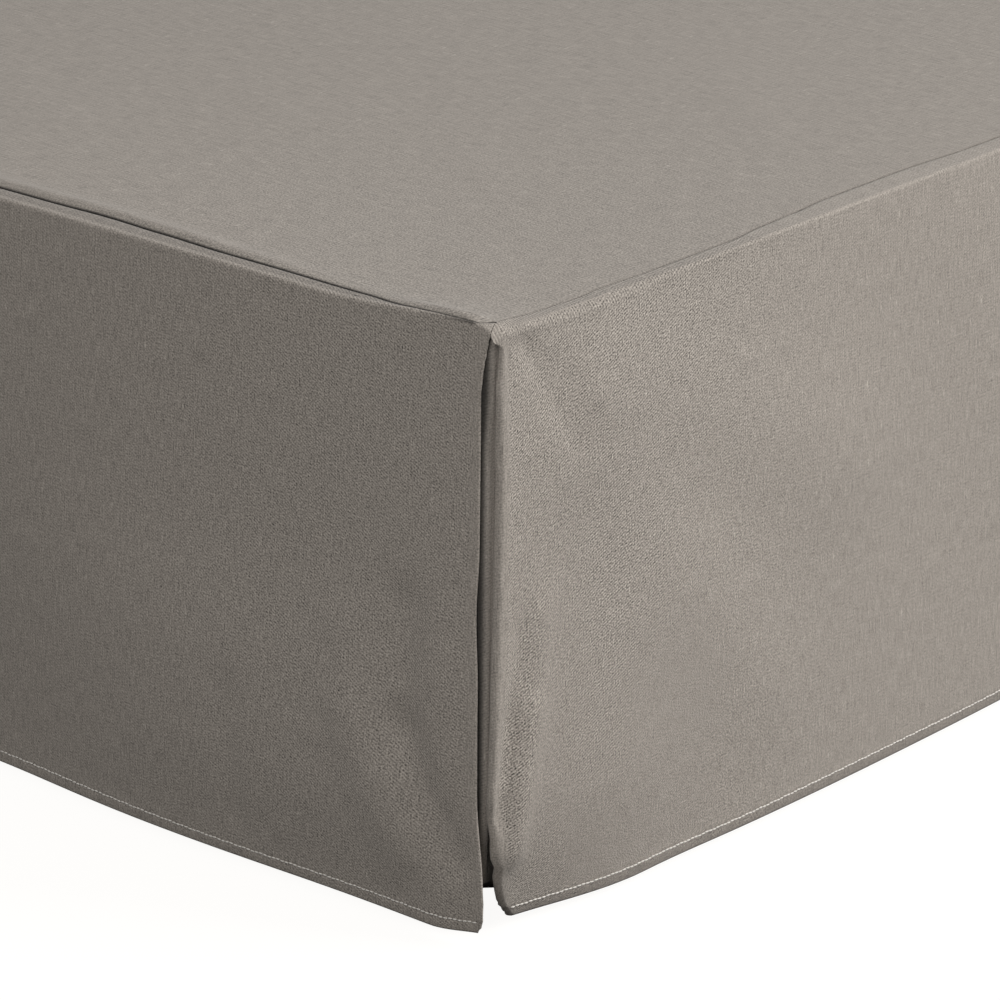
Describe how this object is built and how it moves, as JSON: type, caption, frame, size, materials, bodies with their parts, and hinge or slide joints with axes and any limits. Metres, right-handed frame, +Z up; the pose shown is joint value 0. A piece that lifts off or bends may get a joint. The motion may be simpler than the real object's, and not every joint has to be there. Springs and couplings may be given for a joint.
{
  "type": "bed skirt on bed base",
  "caption": "Tailored bed skirt in taupe twill, with a sewn deck, plain hemmed drops and split pleated foot corners, draped over a plain bed base on legs.",
  "frame": {"origin": "on the floor, under the middle of the whole", "axes": "+Y from the bed's foot to its head, +X to the right seen from the foot, +Z up"},
  "size_m": [1.5298, 2.0144, 0.352],
  "materials": {
    "skirt_cloth": "matte fine twill, taupe grey",
    "pleat_cloth": "matte fine twill, taupe grey, in the pleat's shade",
    "base_cover": "matte plain woven cover",
    "leg_wood": "satin dark stained wood"
  },
  "bodies": {
    "root": {"deck": "skirt_cloth", "drop_foot": "skirt_cloth", "drop_right": "skirt_cloth", "drop_left": "skirt_cloth", "pleat_underlay_right": "pleat_cloth", "pleat_underlay_left": "pleat_cloth", "bed_base": "base_cover", "leg_right_foot": "leg_wood", "leg_right_middle": "leg_wood", "leg_right_head": "leg_wood", "leg_left_foot": "leg_wood", "leg_left_middle": "leg_wood", "leg_left_head": "leg_wood"}
  },
  "joints": []
}
